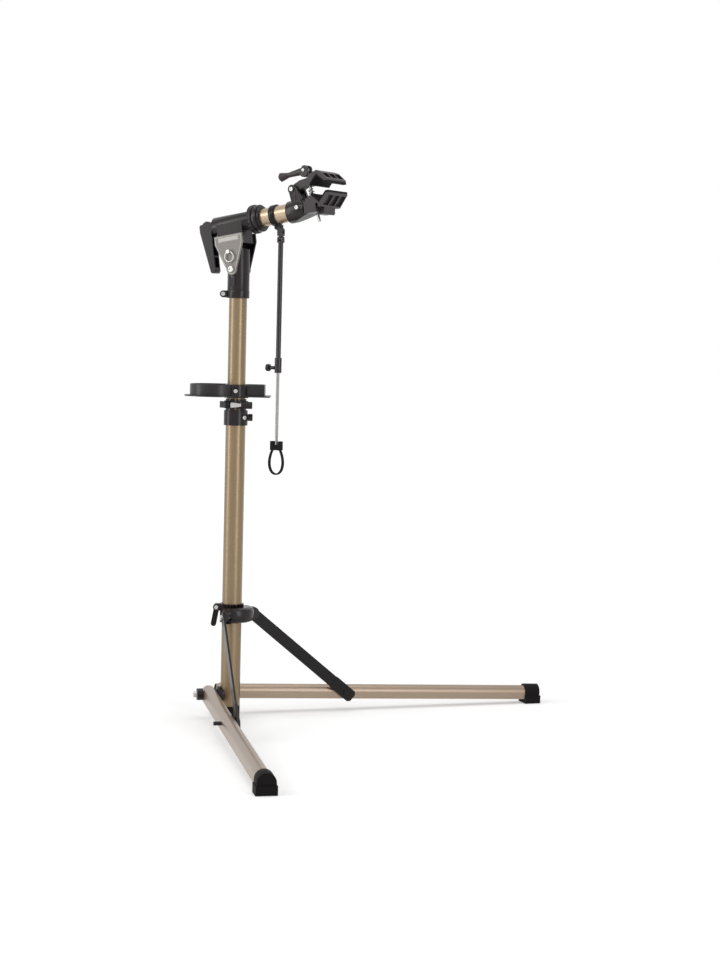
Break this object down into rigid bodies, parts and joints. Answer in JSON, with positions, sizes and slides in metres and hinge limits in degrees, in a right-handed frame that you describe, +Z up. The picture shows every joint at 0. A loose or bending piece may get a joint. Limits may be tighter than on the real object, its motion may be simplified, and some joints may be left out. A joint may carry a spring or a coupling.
{
  "type": "bicycle repair stand",
  "caption": "Folding floor stand with a telescopic mast, tool tray and tilting head whose turning jaw clamp holds a bicycle by its tube",
  "frame": {"origin": "on the floor under the middle of the mast", "axes": "+Z up the mast, +X the way the clamp points, halfway between the legs; the legs reach forward to +Y and -Y"},
  "size_m": [0.5527, 1.1188, 1.1125],
  "materials": {
    "bronze_tube": "satin bronze anodised",
    "black_casting": "moulded satin black",
    "black_steel": "satin black paint",
    "pewter_plate": "satin pewter grey",
    "bright_steel": "zinc plated",
    "black_rubber": "matt"
  },
  "bodies": {
    "base": {"mast_foot": "black_rubber", "lower_tube": "bronze_tube", "pivot_bracket": "black_casting", "pivot_bolts": "bright_steel", "pivot_nuts": "black_casting", "top_collar": "black_casting", "mast_band": "black_casting", "mast_bolt": "bright_steel", "mast_drum": "black_casting"},
    "leg_far": {"leg_far": "bronze_tube", "foot_far": "black_rubber", "brace_nut_far": "black_casting"},
    "leg_near": {"leg_near": "bronze_tube", "foot_near": "black_rubber", "brace_nut_near": "black_casting"},
    "collar": {"leg_collar": "black_casting", "collar_pins": "bright_steel", "collar_bolt": "bright_steel"},
    "collar_lever": {"collar_lever": "black_casting"},
    "brace_far": {"brace_far": "black_steel", "brace_cap_far": "black_casting"},
    "brace_near": {"brace_near": "black_steel", "brace_cap_near": "black_casting"},
    "mast_lever": {"mast_lever": "black_casting"},
    "mast_knob": {"mast_knob": "black_casting"},
    "mast": {"upper_tube": "bronze_tube", "glide_bush": "black_casting", "tray_ring": "black_casting", "tray": "black_casting", "tray_screw": "bright_steel"},
    "head": {"head_sleeve": "black_casting", "sleeve_ring": "black_casting", "ring_bolt": "bright_steel"},
    "arm": {"barrel": "black_casting", "plate_front": "pewter_plate", "plate_rear": "black_steel", "tilt_bolt": "bright_steel", "coupling_fixed": "black_casting", "spindle": "bright_steel", "lever_pin": "bright_steel"},
    "head_lever": {"head_lever": "black_casting"},
    "pull_pin": {"pull_pin": "bright_steel"},
    "pull_ring": {"pull_ring": "bright_steel"},
    "clamp": {"clamp_tube": "bronze_tube", "coupling_turning": "black_casting", "clamp_body": "black_casting", "lower_jaw": "black_casting", "lower_pad": "black_rubber", "jaw_bolts": "bright_steel", "draw_rod": "bright_steel", "jaw_spring": "bright_steel", "hanger_band": "black_steel"},
    "jaw": {"upper_jaw": "black_casting", "upper_pad": "black_rubber"},
    "cam": {"cam_lever": "black_casting"},
    "hanger": {"rod_eye": "black_steel"},
    "rod": {"outer_rod": "black_steel"},
    "thumbscrew": {"thumbscrew": "black_casting"},
    "inner_rod": {"inner_rod": "bright_steel", "strap": "black_rubber"}
  },
  "joints": [
    {"name": "collar_slide", "type": "slide", "parent": "base", "child": "collar", "axis": [0, 0, 1], "range_m": [0, 0.3573]},
    {"name": "leg_far_fold", "type": "hinge", "parent": "base", "child": "leg_far", "pos_m": [-0.03121, 0.0281, 0.048], "axis": [0.7431, -0.6691, 0], "range_deg": [0, 80]},
    {"name": "leg_near_fold", "type": "hinge", "parent": "base", "child": "leg_near", "pos_m": [-0.03121, -0.0281, 0.048], "axis": [-0.7431, -0.6691, 0], "range_deg": [0, 80]},
    {"name": "brace_far_fold", "type": "hinge", "parent": "collar", "child": "brace_far", "pos_m": [0.01428, 0.05173, 0.211], "axis": [-0.7431, 0.6691, 0], "range_deg": [0, 49.1]},
    {"name": "brace_near_fold", "type": "hinge", "parent": "collar", "child": "brace_near", "pos_m": [0.01428, -0.05173, 0.211], "axis": [0.7431, 0.6691, 0], "range_deg": [0, 49.1]},
    {"name": "collar_lever_swing", "type": "hinge", "parent": "collar", "child": "collar_lever", "pos_m": [-0.02689, -0.01553, 0.226], "axis": [-0.5, 0.866, 0], "range_deg": [0, 80]},
    {"name": "mast_slide", "type": "slide", "parent": "base", "child": "mast", "axis": [0, 0, 1], "range_m": [0, 0.48]},
    {"name": "mast_lever_swing", "type": "hinge", "parent": "base", "child": "mast_lever", "pos_m": [0.00094, -0.03363, 0.6375], "axis": [0, 0, 1], "range_deg": [0, 110]},
    {"name": "mast_knob_turn", "type": "hinge", "parent": "base", "child": "mast_knob", "pos_m": [0.02079, 0.012, 0.612], "axis": [0.866, 0.5, 0], "range_deg": [0, 360]},
    {"name": "head_swivel", "type": "hinge", "parent": "mast", "child": "head", "pos_m": [0, 0, 0.87], "axis": [0, 0, 1], "range_deg": [-90, 90]},
    {"name": "head_tilt", "type": "hinge", "parent": "head", "child": "arm", "pos_m": [0, 0, 0.908], "axis": [0, 1, 0], "range_deg": [0, 70]},
    {"name": "pin_pull", "type": "slide", "parent": "arm", "child": "pull_pin", "axis": [0, -1, 0], "range_m": [0, 0.006], "stiffness_N_per_m": 400},
    {"name": "pull_ring_flip", "type": "hinge", "parent": "pull_pin", "child": "pull_ring", "pos_m": [-0.00547, -0.03035, 0.94257], "axis": [-0.9877, 0, -0.1564], "range_deg": [0, 80]},
    {"name": "head_lever_swing", "type": "hinge", "parent": "arm", "child": "head_lever", "pos_m": [-0.07183, 0, 0.99078], "axis": [0, 1, 0], "range_deg": [0, 90]},
    {"name": "clamp_turn", "type": "hinge", "parent": "arm", "child": "clamp", "pos_m": [-0.01455, 0, 0.99986], "axis": [0.9877, 0, 0.1564], "continuous": true},
    {"name": "cam_swing", "type": "hinge", "parent": "clamp", "child": "cam", "pos_m": [0.15233, 0, 1.10323], "axis": [0, 1, 0], "range_deg": [0, 110]},
    {"name": "jaw_open", "type": "hinge", "parent": "clamp", "child": "jaw", "pos_m": [0.13098, 0, 1.06543], "axis": [0, -1, 0], "range_deg": [0, 8.1], "deforming": ["jaw_spring"]},
    {"name": "hanger_plumb", "type": "hinge", "parent": "clamp", "child": "hanger", "pos_m": [0.09796, 0, 0.98629], "axis": [0, 1, 0], "range_deg": [-70.1, 0]},
    {"name": "rod_swing", "type": "hinge", "parent": "hanger", "child": "rod", "pos_m": [0.09796, 0, 0.96979], "axis": [1, 0, 0], "range_deg": [-70, 70]},
    {"name": "thumbscrew_turn", "type": "hinge", "parent": "rod", "child": "thumbscrew", "pos_m": [0.09796, 0, 0.71429], "axis": [1, 0, 0], "range_deg": [0, 360]},
    {"name": "rod_extend", "type": "slide", "parent": "rod", "child": "inner_rod", "axis": [0, 0, -1], "range_m": [-0.09, 0.1]}
  ],
  "couplings": [
    {"joint": "leg_far_fold", "follows": "collar_slide", "rad_per_m": 3.9074},
    {"joint": "leg_near_fold", "follows": "collar_slide", "rad_per_m": 3.9074},
    {"joint": "brace_far_fold", "follows": "collar_slide", "rad_per_m": 2.3961},
    {"joint": "brace_near_fold", "follows": "collar_slide", "rad_per_m": 2.3961},
    {"joint": "jaw_open", "follows": "cam_swing", "ratio": 0.072727},
    {"joint": "hanger_plumb", "follows": "head_tilt", "ratio": -1}
  ]
}
